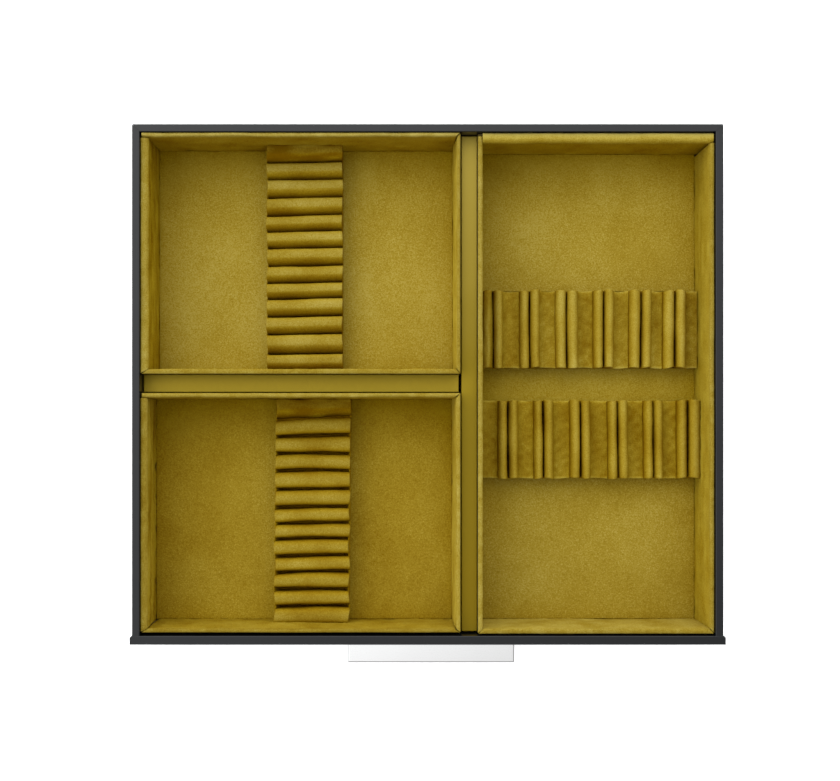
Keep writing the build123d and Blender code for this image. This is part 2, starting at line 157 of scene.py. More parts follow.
def stations(length, step, r):
    """Places along a swept piece, close together within r of each end, and how far each is drawn in."""
    near = r * (1 - np.cos(np.linspace(0, math.pi / 2, 6)))
    m = max(2, int((length - 2 * r) // step))
    mid = np.linspace(r, length - r, m + 1)[1:-1]
    s = np.concatenate([near, mid, length - near[::-1]])
    d = np.minimum(s, length - s)
    inset = np.where(d < r, r - np.sqrt(np.maximum(r * r - (r - d) ** 2, 0)), 0)
    return s, inset


# ------------------------------------------------------------------ materials
def new_material(name):
    m = bpy.data.materials.new(name)
    m.use_nodes = True
    nt = m.node_tree
    nt.nodes.clear()
    out = nt.nodes.new("ShaderNodeOutputMaterial")
    b = nt.nodes.new("ShaderNodeBsdfPrincipled")
    nt.links.new(b.outputs["BSDF"], out.inputs["Surface"])
    return m, nt, b


def noise(nt, scale, detail=3.0, rough=0.55, coord=None, stretch=None, dist=0.0):
    if coord is None:
        coord = nt.nodes.new("ShaderNodeTexCoord").outputs["Object"]
    if stretch is not None:
        mp = nt.nodes.new("ShaderNodeMapping")
        mp.inputs["Scale"].default_value = stretch
        nt.links.new(coord, mp.inputs["Vector"])
        coord = mp.outputs["Vector"]
    t = nt.nodes.new("ShaderNodeTexNoise")
    t.inputs["Scale"].default_value = scale
    t.inputs["Detail"].default_value = detail
    t.inputs["Roughness"].default_value = rough
    t.inputs["Distortion"].default_value = dist
    nt.links.new(coord, t.inputs["Vector"])
    return t.outputs["Fac"]


def ramp(nt, value, stops):
    r = nt.nodes.new("ShaderNodeValToRGB")
    e = r.color_ramp.elements
    while len(e) < len(stops):
        e.new(0.5)
    for x, (p, c) in zip(e, stops):
        x.position = p
        x.color = (*c, 1.0) if len(c) == 3 else c
    nt.links.new(value, r.inputs["Fac"])
    return r.outputs["Color"]


def math_node(nt, op, a, b=None):
    m = nt.nodes.new("ShaderNodeMath")
    m.operation = op
    for i, v in enumerate((a, b)):
        if v is None:
            continue
        if isinstance(v, (int, float)):
            m.inputs[i].default_value = v
        else:
            nt.links.new(v, m.inputs[i])
    return m.outputs[0]


def add_scaled(nt, terms):
    """Sum of (value, weight) pairs."""
    total = None
    for v, w in terms:
        x = math_node(nt, "MULTIPLY", v, w)
        total = x if total is None else math_node(nt, "ADD", total, x)
    return total


def bump(nt, b, height, strength, distance):
    n = nt.nodes.new("ShaderNodeBump")
    n.inputs["Strength"].default_value = strength
    n.inputs["Distance"].default_value = distance
    nt.links.new(height, n.inputs["Height"])
    nt.links.new(n.outputs["Normal"], b.inputs["Normal"])


def suede_material(name, dark, mid, light, offset=0.0, grain=1.0):
    """Short-napped suede: brushed blotches, mottling and fine fibre grain.
    One attribute makes it lighter or darker, partly as brushed nap and partly as painted highlight and painted shade; a
    second deepens its colour as painted shade; a third dulls it as painted shade."""
    m, nt, b = new_material(name)
    coord = nt.nodes.new("ShaderNodeTexCoord").outputs["Object"]
    big = noise(nt, 17, 3, 0.6, coord, dist=0.5)
    patch = noise(nt, 62, 3, 0.6, coord, (1, 0.75, 1), dist=0.8)
    mott = noise(nt, 310, 3, 0.65, coord)
    fine = noise(nt, 760, 2, 0.8, coord)
    dust = noise(nt, 1400, 1, 0.8, coord)
    # this attribute carries real brushed nap together with painted highlight and painted shade
    att = nt.nodes.new("ShaderNodeAttribute")
    att.attribute_name = "nap_and_painted_light"
    v = add_scaled(nt, [(big, 0.36), (patch, 0.28), (mott, 0.26 * grain), (fine, 0.70 * grain), (dust, 1.05 * grain)])
    v = math_node(nt, "ADD", v, att.outputs["Fac"])
    v = math_node(nt, "ADD", v, 0.5 - 0.5 * (0.36 + 0.28 + 2.01 * grain) + offset)
    col = ramp(nt, v, [(0.0, dark), (0.5, mid), (1.0, light)])
    # painted shade: multiplies the colour toward a deep saturated brown where shade falls
    sh = nt.nodes.new("ShaderNodeAttribute")
    sh.attribute_name = "painted_shade"
    mix = nt.nodes.new("ShaderNodeMixRGB")
    mix.blend_type = "MULTIPLY"
    mix.inputs["Color2"].default_value = (1.02, 0.915, 0.19, 1.0)
    nt.links.new(sh.outputs["Fac"], mix.inputs["Fac"])
    nt.links.new(col, mix.inputs["Color1"])
    # painted shade: a neutral dulling for faces that would catch too much light
    dm = nt.nodes.new("ShaderNodeAttribute")
    dm.attribute_name = "painted_dim"
    painted_dulling = nt.nodes.new("ShaderNodeMixRGB")
    painted_dulling.blend_type = "MULTIPLY"
    painted_dulling.inputs["Color2"].default_value = (0.71, 0.70, 0.68, 1.0)
    nt.links.new(dm.outputs["Fac"], painted_dulling.inputs["Fac"])
    nt.links.new(mix.outputs["Color"], painted_dulling.inputs["Color1"])
    nt.links.new(painted_dulling.outputs["Color"], b.inputs["Base Color"])
    b.inputs["Roughness"].default_value = 0.95
    b.inputs["Specular IOR Level"].default_value = 0.02
    h = add_scaled(nt, [(mott, 0.30), (fine, 0.45), (dust, 0.25)])
    bump(nt, b, h, 0.6, 0.0008)
    return m


def lacquer_material(name, base, rough=0.36):
    m, nt, b = new_material(name)
    coord = nt.nodes.new("ShaderNodeTexCoord").outputs["Object"]
    cloud = noise(nt, 9, 2, 0.5, coord)
    fine = noise(nt, 900, 2, 0.6, coord)
    v = add_scaled(nt, [(cloud, 0.8), (fine, 0.2)])
    lo = tuple(c * 0.90 for c in base)
    hi = tuple(c * 1.10 for c in base)
    nt.links.new(ramp(nt, v, [(0.3, lo), (0.7, hi)]), b.inputs["Base Color"])
    r = add_scaled(nt, [(noise(nt, 45, 3, 0.6, coord), 0.10), (fine, 0.08)])
    nt.links.new(math_node(nt, "ADD", r, rough - 0.09), b.inputs["Roughness"])
    b.inputs["Specular IOR Level"].default_value = 0.37
    bump(nt, b, fine, 0.12, 0.0002)
    return m


def leather_material(name, front, mid, back):
    m, nt, b = new_material(name)
    coord = nt.nodes.new("ShaderNodeTexCoord").outputs["Object"]
    cloud = noise(nt, 14, 3, 0.5, coord)
    vo = nt.nodes.new("ShaderNodeTexVoronoi")
    vo.inputs["Scale"].default_value = 900
    nt.links.new(coord, vo.inputs["Vector"])
    fine = noise(nt, 600, 3, 0.6, coord)
    sep = nt.nodes.new("ShaderNodeSeparateXYZ")
    nt.links.new(coord, sep.inputs["Vector"])
    # painted light: the base colour runs from the front colour to a lighter back colour along Y
    y = math_node(nt, "MULTIPLY", sep.outputs["Y"], 3.1)
    v = add_scaled(nt, [(cloud, 0.22), (fine, 0.06)])
    v = math_node(nt, "ADD", math_node(nt, "ADD", v, y), 0.5 - 0.14 - 0.08)
    nt.links.new(ramp(nt, v, [(0.0, front), (0.5, mid), (1.0, back)]), b.inputs["Base Color"])
    b.inputs["Roughness"].default_value = 0.52
    b.inputs["Specular IOR Level"].default_value = 0.07
    h = add_scaled(nt, [(vo.outputs["Distance"], 0.6), (fine, 0.4)])
    bump(nt, b, h, 0.18, 0.0002)
    return m


def metal_material(name, base, rough, brushed=0.0, axis=1, painted_flank_reflection=None):
    m, nt, b = new_material(name)
    coord = nt.nodes.new("ShaderNodeTexCoord").outputs["Object"]
    stretch = [60.0, 60.0, 60.0]
    stretch[axis] = 1.5
    s = noise(nt, 14, 3, 0.6, coord, tuple(stretch))
    smudge = noise(nt, 30, 3, 0.6, coord)
    tint = ramp(nt, smudge, [(0.3, tuple(c * 0.985 for c in base)), (0.7, base)])
    if painted_flank_reflection is not None:
        # painted reflection: faces turned away from the top get a darker base colour, standing in for a darker
        # reflection at the bevels
        sep = nt.nodes.new("ShaderNodeSeparateXYZ")
        nt.links.new(nt.nodes.new("ShaderNodeTexCoord").outputs["Normal"], sep.inputs["Vector"])
        mix = nt.nodes.new("ShaderNodeMixRGB")
        mix.blend_type = "MULTIPLY"
        mix.inputs["Color2"].default_value = (1.0, 1.0, 1.0, 1.0)
        mix.inputs["Fac"].default_value = 1.0
        nt.links.new(tint, mix.inputs["Color1"])
        nt.links.new(ramp(nt, sep.outputs["Z"], [(0.10, (0.55, 0.555, 0.56)), (0.40, painted_flank_reflection), (0.85, painted_flank_reflection), (0.995, (1.0, 1.0, 1.0))]), mix.inputs["Color2"])
        tint = mix.outputs["Color"]
    nt.links.new(tint, b.inputs["Base Color"])
    b.inputs["Metallic"].default_value = 1.0
    v = add_scaled(nt, [(s, 0.10 + brushed), (smudge, 0.05)])
    nt.links.new(math_node(nt, "ADD", v, rough - 0.07), b.inputs["Roughness"])
    bump(nt, b, s, 0.03 + brushed * 0.4, 0.0001)
    return m


def wood_material(name, light, dark, axis=1):
    m, nt, b = new_material(name)
    coord = nt.nodes.new("ShaderNodeTexCoord").outputs["Object"]
    stretch = [18.0, 18.0, 18.0]
    stretch[axis] = 0.9
    g = noise(nt, 12, 5, 0.65, coord, tuple(stretch), dist=0.4)
    nt.links.new(ramp(nt, g, [(0.3, dark), (0.7, light)]), b.inputs["Base Color"])
    b.inputs["Roughness"].default_value = 0.6
    bump(nt, b, g, 0.2, 0.0002)
    return m


def board_material(name, base):
    m, nt, b = new_material(name)
    coord = nt.nodes.new("ShaderNodeTexCoord").outputs["Object"]
    f = noise(nt, 420, 4, 0.7, coord)
    g = noise(nt, 24, 3, 0.6, coord)
    v = add_scaled(nt, [(f, 0.5), (g, 0.5)])
    nt.links.new(ramp(nt, v, [(0.3, tuple(c * 0.85 for c in base)), (0.7, tuple(c * 1.1 for c in base))]), b.inputs["Base Color"])
    b.inputs["Roughness"].default_value = 0.85
    bump(nt, b, f, 0.25, 0.0002)
    return m


D, Mi, Li = (0.178, 0.098, 0.0012), (0.292, 0.207, 0.022), (0.425, 0.342, 0.082)
suede = suede_material("suede_lining", D, Mi, Li)
suede_roll = suede_material("suede_rolls", (0.190, 0.105, 0.002), Mi, Li, offset=0.0, grain=0.78)
lacquer = lacquer_material("grey_lacquer", (0.0046, 0.0050, 0.0055), rough=0.24)
# divider colours run lighter toward the back as a painted light gradient
leather = leather_material("divider_leather", (0.242, 0.161, 0.005), (0.280, 0.195, 0.010), (0.470, 0.352, 0.056))
leather_cross = leather_material("cross_leather", (0.268, 0.181, 0.008), (0.315, 0.222, 0.015), (0.450, 0.340, 0.046))
chrome = metal_material("polished_chrome", (0.968, 0.960, 0.950), 0.09, axis=0, painted_flank_reflection=(0.24, 0.24, 0.24))
steel = metal_material("screw_steel", (0.62, 0.62, 0.64), 0.30)
zinc = metal_material("zinc_rail", (0.36, 0.37, 0.385), 0.32, brushed=0.12)
beech = wood_material("beech_dowel", (0.66, 0.50, 0.30), (0.50, 0.34, 0.18))
board = board_material("tray_board", (0.115, 0.082, 0.012))

by_slot = {
    "lacquer": lacquer, "lacquered_board": lacquer, "dowel": beech, "chrome": chrome, "steel": steel,
    "zinc_steel": zinc, "divider_leather": leather, "tray_board": board, "suede": suede,
}
slot_of = {s["node"]: s["material_slot"] for s in frame["record"]["subparts"]}
for name, o in nodes.items():
    o.data.materials.clear()
    o.data.materials.append(leather_cross if name == "cross_divider" else by_slot[slot_of[name]])


# ------------------------------------------------------------------ tray linings
FLOOR, RIM, PAD0, SHELL_TOP, SHELL_T = 22.5, 67.5, 19.6, 64.4, 1.25
TRAYS = {
    "a": ((-201.6, 23.1), (16.7, 185.7), (-196.8, 19.9), (19.9, 183.0)),
    "b": ((-201.6, 23.1), (-165.6, 2.9), (-196.8, 19.4), (-163.0, -0.2)),
    "c": ((35.8, 201.6), (-166.3, 185.7), (38.9, 198.7), (-162.9, 180.6)),
}


# rim faces: how far they reach past the shell outside, and past the wall's inner face (minus: set back)
RIMS = {
    ("a", "left"): (0.34, 0.75), ("b", "left"): (0.37, 0.0), ("c", "left"): (0.45, 0.0),
    ("a", "right"): (0.10, -0.95), ("b", "right"): (0.10, -0.75), ("c", "right"): (0.15, 0.0),
    ("a", "rear"): (0.30, 0.0), ("b", "rear"): (0.0, 0.05), ("c", "rear"): (0.30, 1.7),
    ("a", "front"): (0.40, 0.0), ("b", "front"): (0.0, 0.1), ("c", "front"): (0.15, 0.0),
}
# corners where the two rims meet on a diagonal; elsewhere one rim runs past the other
MITRED = {("a", "rear", "right"), ("b", "rear", "right"), ("b", "front", "right"), ("c", "front", "right"),
          ("c", "front", "left"), ("a", "front", "right"), ("b", "front", "left"), ("a", "front", "left")}
# dark joints left open between two walls: gap in mm at the side wall's front or rear end
OPEN = {("b", "left", 0): 0.75, ("b", "right", 0): 0.45, ("c", "right", 1): 0.8, ("a", "left", 1): 0.55,
        ("a", "left", 0): 0.3, ("b", "left", 1): 0.4, ("c", "left", 1): 0.5, ("c", "right", 0): 0.22}


# painted shade: how much each wall's rim is dulled, then how much its face below is dulled; then walls whose nap shows
# long streaks
PAINTED_DIM_RIM = {("a", "front"): 0.8, ("b", "front"): 1.1, ("c", "front"): 0.85, ("a", "right"): 0.85, ("b", "right"): 0.55, ("c", "right"): 0.85,
       ("a", "left"): 0.5, ("b", "left"): 0.9, ("c", "left"): 0.7, ("b", "rear"): 0.55, ("a", "rear"): 0.35, ("c", "rear"): 0.55}
PAINTED_DIM_FACE = {("b", "front"): 0.3, ("c", "right"): 0.3, ("c", "front"): 0.2}
STREAK = {("b", "left"): 3.0, ("a", "left"): 2.4, ("a", "right"): 1.1, ("b", "right"): 1.0}
# how much thinner a wall's lining is at its foot, and how much its rim stands up
FOOT = {("b", "left"): 2.7}
RAISE = {("a", "rear"): 1.2, ("c", "rear"): 0.8, ("b", "rear"): 0.4}


def wall_pad(key, wall, seed, wrinkle=1.0, rim_painted_light=0.0, base=-0.12, painted_shade=0.8):
    ox, oy, ix, iy = TRAYS[key]
    tx0, tx1 = ix[0] - ox[0], ox[1] - ix[1]
    ty0, ty1 = iy[0] - oy[0], oy[1] - iy[1]
    T = {"front": ty0, "rear": ty1, "left": tx0, "right": tx1}[wall]
    rnd = np.random.default_rng(seed)
    across = wall in ("front", "rear")
    run, ends = [0.0, 0.0], []
    for e in (0, 1):
        if across:
            corner = (key, wall, ("left", "right")[e])
            side_t = (tx0, tx1)[e]
            lo = ox[e]
        else:
            corner = (key, ("front", "rear")[e], wall)
            side_t = (ty0, ty1)[e]
            lo = oy[e]
        sign = 1 if e == 0 else -1
        if corner in MITRED:
            run[e] = lo + sign * 0.06
            ends.append(("mitre", side_t / T, OPEN.get((key, wall, e), 0.10)))
        elif across:
            if key == "c" and wall == "rear":
                run[e] = (ix[0] - 0.1, ox[1] - 0.5)[e]
            else:
                run[e] = lo + sign * rnd.uniform(0.5, 0.8)
            ends.append(("butt", 0, 0))
        else:
            # this wall stops against the front or rear wall; the rims part a little
            stop = oy[1] - (1.9 if wall == "left" else 6.4) if (key == "c" and e == 1) else iy[e]
            run[e] = stop + sign * 0.10
            ends.append(("stop", 0, OPEN.get((key, wall, e), 0.18)))
    L = run[1] - run[0]
    r_in = min(2.4, T * 0.55)
    r_out = min(0.9, T - r_in - 0.05)
    if key == "c" and wall == "rear":
        r_in, r_out = 3.0, 1.6
    poly = [(T, PAD0), (T, RIM), (0.0, RIM), (0.0, SHELL_TOP), (SHELL_T, SHELL_TOP), (SHELL_T, PAD0)]
    prof = rounded(poly, [0.5, r_in, r_out, 0.4, 0.2, 0.3], step=2.4, seg=8)
    N = loop_normals(prof)
    s, inset = stations(L, 1.6, 0.45)
    t, z = prof[:, 0], prof[:, 1]
    S = np.repeat(s[:, None], len(prof), 1)
    TT = t[None, :] - N[None, :, 0] * inset[:, None]
    ZZ = z[None, :] - N[None, :, 1] * inset[:, None]
    hgt = np.clip((ZZ - PAD0) / (RIM - PAD0), 0, 1)
    for e, (kind, k, gap) in enumerate(ends):
        w = np.clip(1 - (S if e == 0 else L - S) / 12.0, 0, 1)
        wavy = 0.35 + 0.65 * np.clip(np.sin(2.4 * hgt + rnd.uniform(0.2, 0.7)), 0, 1)
        move = w * gap * wavy
        if kind == "mitre":
            move = move + w * np.clip(TT, 0, None) * k
        S = S + move if e == 0 else S - move
    P = np.stack([S + run[0], TT, ZZ], -1)
    # soft padding: a bulge on the inner face, lazy waves along it and a wavy rim
    inner = np.clip((t - T * 0.72) / (T * 0.28), 0, 1) * np.clip((RIM - 0.2 - z) / 4.0, 0, 1)
    up = np.clip((z - (RIM - 2.4)) / 2.4, 0, 1)
    rim_out, rim_in = RIMS[(key, wall)]
    top = np.clip(1 - (RIM - z) / 3.2, 0, 1) * np.clip(1 - t / T, 0, 1)
    lean = np.clip((z - PAD0) / (RIM - PAD0), 0, 1) ** 2 * np.clip(t / T, 0, 1)
    if key == "c" and wall == "rear":
        # a loosely turned, rolled edge along the top
        lean = np.sin(0.5 * math.pi * np.clip((z - (RIM - 12)) / 9, 0, 1)) ** 2 * np.clip(t / T, 0, 1)
    bulge = 0.40 * np.sin(math.pi * hgt) * inner[None, :]
    lazy = waves(seed + 1, 42, stretch=(1.0, 1, 0.8))(P) * 0.14
    fold = waves(seed + 2, 11, n=16, stretch=(0.75, 1, 3.2))(P)
    crease = (0.10 - np.abs(fold) * 0.16) * wrinkle
    rimw = waves(seed + 3, 34)(P * [1, 0, 0])
    rimf = waves(seed + 4, 7, n=14)(P * [1, 0.5, 0])
    e = np.exp(-np.minimum(S, L - S) / 3.0)
    disp_t = bulge + (lazy + crease) * inner[None, :] * (1 - 0.7 * e)
    disp_t = disp_t + up[None, :] * (0.20 * rimw + 0.06 * rimf) * (t / T)[None, :]
    disp_t = disp_t - rim_out * top[None, :] + rim_in * lean[None, :]
    disp_t = disp_t - FOOT.get((key, wall), 0.0) * (1 - hgt) * np.clip((t - SHELL_T) / (T - SHELL_T), 0, 1)[None, :]
    disp_z = up[None, :] * (RAISE.get((key, wall), 0.0) + 0.22 * waves(seed + 5, 50)(P * [1, 0, 0]) + 0.05 * rimf)
    # the fold is a little fuller at its ends, where the cloth is turned in
    ear = rnd.uniform(0.1, 0.4, 2)
    disp_z = disp_z + up[None, :] * (ear[0] * np.exp(-S / 3.0) + ear[1] * np.exp(-(L - S) / 3.0))
    P[..., 1] += disp_t
    P[..., 2] = np.minimum(P[..., 2] + disp_z, 69.6)
    a, tt, zz = P[..., 0], P[..., 1], P[..., 2]
    if wall == "front":
        W = np.stack([a, oy[0] + tt, zz], -1)
    elif wall == "rear":
        W = np.stack([a, oy[1] - tt, zz], -1)
    elif wall == "left":
        W = np.stack([ox[0] + tt, a, zz], -1)
    else:
        W = np.stack([ox[1] - tt, a, zz], -1)
    # rims painted lighter as a painted highlight, upright faces painted darker as painted shade and darker still near
    # the wall's ends, each wall at its own painted light level, with real nap streaks and smears along the wall
    streak = waves(seed + 6, 30, n=16, stretch=(1.0, 1, 0.8) if across else (1.6, 1, 0.22))(P)
    streak = streak * STREAK.get((key, wall), 1.0)
    smear = waves(seed + 7, 13, n=16, stretch=(1.2, 1, 0.9))(P)
    low = 1 - up[None, :]
    if key == "c" and wall == "rear":
        # painted highlight along the back, fading to painted shade under the roll
        up = np.clip(1 - (t - 0.6) / 6.4, 0, 1) * np.clip((z - (RIM - 9)) / 5, 0, 1)
        rim_painted_light = rim_painted_light + 0.10
        low = 1 - up[None, :]
    nap_and_painted_light = (0.14 + rim_painted_light + 0.05 * rimf) * up[None, :] + low * (base + 0.06 * streak + 0.05 * smear) - 0.06 * e * low
    # painted shade deepens the colour of the upright face, more toward its foot; painted dimming on the rim and on the
    # face below
    painted_shade_amount = low * (painted_shade + 0.2 * (1 - hgt))
    painted_dim = PAINTED_DIM_RIM.get((key, wall), 0.0) * up[None, :] + PAINTED_DIM_FACE.get((key, wall), 0.0) * low + 0 * nap_and_painted_light
    o = tube(f"tray_{key}_{wall}_lining", W, suede, nap_and_painted_light, np.clip(painted_shade_amount, 0, 1) + 0 * nap_and_painted_light, painted_dim)
    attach(o, "tray_" + key)
    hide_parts(f"tray_{key}_{wall}_pad")
    return o


def soft_slab(name, lo, hi, r, step, disp, nap_and_painted_light, material):
    """A rounded slab: a welded box grid drawn onto rounded edges, then displaced."""
    lo, hi = np.array(lo, float), np.array(hi, float)

    def ticks(a, b):
        e = r * (1 - np.cos(np.linspace(0, math.pi / 2, 5)))
        n = max(1, int((b - a - 2 * r) // step))
        mid = np.linspace(a + r, b - r, n + 1)
        return np.concatenate([a + e[:-1], mid, (b - e[:-1])[::-1]])

    G = [ticks(lo[i], hi[i]) for i in range(3)]
    index, V, F = {}, [], []

    def vid(i, j, k):
        key = (i, j, k)
        if key not in index:
            index[key] = len(V)
            V.append((G[0][i], G[1][j], G[2][k]))
        return index[key]

    nx, ny, nz = (len(g) - 1 for g in G)
    for k, flip in ((0, True), (nz, False)):
        for i in range(nx):
            for j in range(ny):
                q = [vid(i, j, k), vid(i + 1, j, k), vid(i + 1, j + 1, k), vid(i, j + 1, k)]
                F.append(q[::-1] if flip else q)
    for j, flip in ((0, False), (ny, True)):
        for i in range(nx):
            for k in range(nz):
                q = [vid(i, j, k), vid(i + 1, j, k), vid(i + 1, j, k + 1), vid(i, j, k + 1)]
                F.append(q[::-1] if flip else q)
    for i, flip in ((0, True), (nx, False)):
        for j in range(ny):
            for k in range(nz):
                q = [vid(i, j, k), vid(i, j + 1, k), vid(i, j + 1, k + 1), vid(i, j, k + 1)]
                F.append(q[::-1] if flip else q)
    V = np.array(V)
    c = np.clip(V, lo + r, hi - r)
    d = V - c
    n = np.linalg.norm(d, axis=1)
    linf = np.abs(d).max(1)
    V = c + np.where(n[:, None] > 1e-9, d / np.maximum(n, 1e-9)[:, None] * linf[:, None], 0)
    V, (nap_and_light_values, painted_shade_amount, painted_dim_values) = disp(V, lo, hi), nap_and_painted_light(V, lo, hi)
    return mesh_of(name, V, F, material, nap_and_light_values, painted_shade_amount, painted_dim_values)


def floor_pad(key, seed):
    _, _, ix, iy = TRAYS[key]
    g = 0.08
    foot = FOOT.get((key, "left"), 0.0) * 0.92
    w1, w2, w3 = waves(seed, 46), waves(seed + 1, 12, n=16), waves(seed + 2, 90)

    def disp(V, lo, hi):
        V = V.copy()
        up = np.clip((V[:, 2] - (hi[2] - 1.2)) / 1.2, 0, 1)
        ex = np.minimum(V[:, 0] - lo[0], hi[0] - V[:, 0])
        ey = np.minimum(V[:, 1] - lo[1], hi[1] - V[:, 1])
        e = 1 - np.exp(-np.minimum(ex, ey) / 9.0)
        V[:, 2] += up * (0.10 * w1(V) * e + 0.035 * w2(V) + 0.22 * e - 0.15)
        V[:, 2] = np.minimum(V[:, 2], FLOOR + 0.28)
        side = 1 - up
        V[:, 0] += 0.06 * w2(V) * np.sign(V[:, 0] - (lo[0] + hi[0]) / 2) * (ex < 2)
        V[:, 1] += 0.06 * w2(V + 50) * np.sign(V[:, 1] - (lo[1] + hi[1]) / 2) * (ey < 2)
        return V

    def nap_and_painted_light(V, lo, hi):
        ex = np.minimum(V[:, 0] - lo[0], hi[0] - V[:, 0])
        ey = np.minimum(V[:, 1] - lo[1], hi[1] - V[:, 1])
        e = np.exp(-np.minimum(ex, ey) / 3.0)
        # painted shadow near the rear wall and the side walls, painted shade along the pad's edges, and painted light
        # tone, painted shade and painted dimming per tray and in a band across the middle of tray c
        back = np.exp(-(hi[1] - V[:, 1]) / 22.0)
        side = np.exp(-np.minimum(ex, V[:, 1] - lo[1]) / 12.0)
        along = (V[:, 1] - lo[1]) / (hi[1] - lo[1])
        middle = np.exp(-(((along - 0.45) / 0.14) ** 2)) * (key == "c")
        painted_light_tone = {"a": 0.06, "b": -0.08, "c": -0.05 + 0.14 * along + 0.05 * middle}[key]
        painted_dim = {"a": 0.0, "b": 0.22, "c": 0.45 * (1 - along)}[key] + 0 * along
        painted_shade = 0.75 * back + 0.35 * side + 0.45 * middle + (0.34 if key == "b" else 0.12)
        return painted_light_tone + 0.035 * w3(V) + 0.02 * w1(V) - 0.05 * e, np.clip(painted_shade, 0, 1), painted_dim

    o = soft_slab(f"tray_{key}_floor_lining", (ix[0] + g - foot, iy[0] + g, PAD0), (ix[1] - g, iy[1] - g, FLOOR), 0.5, 2.6, disp, nap_and_painted_light, suede)
    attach(o, "tray_" + key)
    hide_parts(f"tray_{key}_floor_pad")
    return o


seed = 100
WRINKLE = {("b", "left"): 2.4, ("a", "left"): 1.4}
# per wall: painted highlight or shade on the rim, the upright face's painted light level, and its painted shade depth
RIM_PAINTED_LIGHT = {("c", "rear"): 0.30, ("a", "rear"): 0.18, ("b", "left"): -0.18, ("b", "front"): -0.22, ("c", "front"): -0.16,
           ("a", "front"): -0.14, ("c", "right"): -0.14, ("a", "left"): -0.06, ("a", "right"): -0.12, ("b", "right"): -0.10,
           ("c", "left"): 0.0, ("b", "rear"): -0.04}
WALL_PAINTED_LIGHT = {("a", "left"): 0.06, ("b", "left"): 0.20, ("a", "right"): 0.28, ("b", "right"): 0.18, ("c", "right"): 0.20,
        ("c", "left"): -0.06, ("a", "rear"): -0.02, ("b", "rear"): -0.10, ("c", "rear"): -0.08,
        ("a", "front"): 0.0, ("b", "front"): 0.02, ("c", "front"): 0.20}
WALL_PAINTED_SHADE = {("c", "front"): 0.25, ("b", "front"): 0.6, ("c", "right"): 0.7, ("a", "right"): 0.65, ("b", "right"): 0.6,
         ("c", "rear"): 1.0, ("a", "left"): 1.0}
for key in "abc":
    for wall in ("front", "right", "rear", "left"):
        seed += 17
        k = (key, wall)
        wall_pad(key, wall, seed, WRINKLE.get(k, 1.0), RIM_PAINTED_LIGHT.get(k, 0.0), WALL_PAINTED_LIGHT[k], WALL_PAINTED_SHADE.get(k, 0.8))
    seed += 17
    floor_pad(key, seed)


# ------------------------------------------------------------------ rolls
def section(items, y0, y1, zb, n_top=17, front=(2.5, 1.0), back=(2.5, 1.0)):
    """Closed section of a cloth-wrapped roll strip, in (y, z), from rolls and what lies between them.
    items: ("roll", a, b, top, shoulder) and ("slit", bottom) or ("flat", level) between rolls.
    front and back: roundness and share of the shoulder of each half of a roll."""
    P, K = [], []

    def put(y, z, k):
        P.append((y, z))
        K.append(k)

    put(y0, zb, 0)
    n = len(items)
    for i, it in enumerate(items):
        if it[0] == "roll":
            a, b, top, sh = it[1:5]
            front_i, back_i = it[5] if len(it) > 5 else (front, back)
            low, zs = zb + 1.0 if i == 0 else items[i - 1][1], top - sh * front_i[1]
            if low < zs - 1.5:
                for j in range(1, 4):
                    put(a, low + (zs - low) * j / 4, 5 if i == 0 else 1)
            yc, h = (a + b) / 2, (b - a) / 2
            for j in range(n_top):
                th = math.pi * (1 - j / (n_top - 1))
                c, v = math.cos(th), math.sin(th)
                p, share = front_i if c < 0 else back_i
                put(yc + h * math.copysign(abs(c) ** (2 / p), c), top - sh * share * (1 - abs(v) ** (2 / p)), 2)
            low, zs = zb + 1.0 if i == n - 1 else items[i + 1][1], top - sh * back_i[1]
            if low < zs - 1.5:
                for j in range(3, 0, -1):
                    put(b, low + (zs - low) * j / 4, 5 if i == n - 1 else 1)
        elif it[0] == "slit":
            a = items[i - 1][2]
            b = items[i + 1][1]
            g = (b - a) / 2
            for j in range(5):
                th = math.pi * (1 + j / 4)
                put((a + b) / 2 + g * math.cos(th), it[1] + g * math.sin(th), 3)
        else:
            a = items[i - 1][2] if i > 0 else y0
            b = items[i + 1][1] if i < n - 1 else y1
            m = 11
            for j in range(m):
                u = 0.5 - 0.5 * math.cos(math.pi * (j + 0.5) / m)
                edge = math.exp(-u * (b - a) / 1.3) * (i > 0) + math.exp(-(1 - u) * (b - a) / 1.3) * (i < n - 1)
                put(a + (b - a) * u, it[1] + 0.35 * math.sin(math.pi * u) + 2.0 * edge, 4)
    put(y1, zb, 0)
    m = max(2, int((y1 - y0) // 8))
    for j in range(1, m):
        put(y1 + (y0 - y1) * j / m, zb, 0)
    return np.array(P), np.array(K)


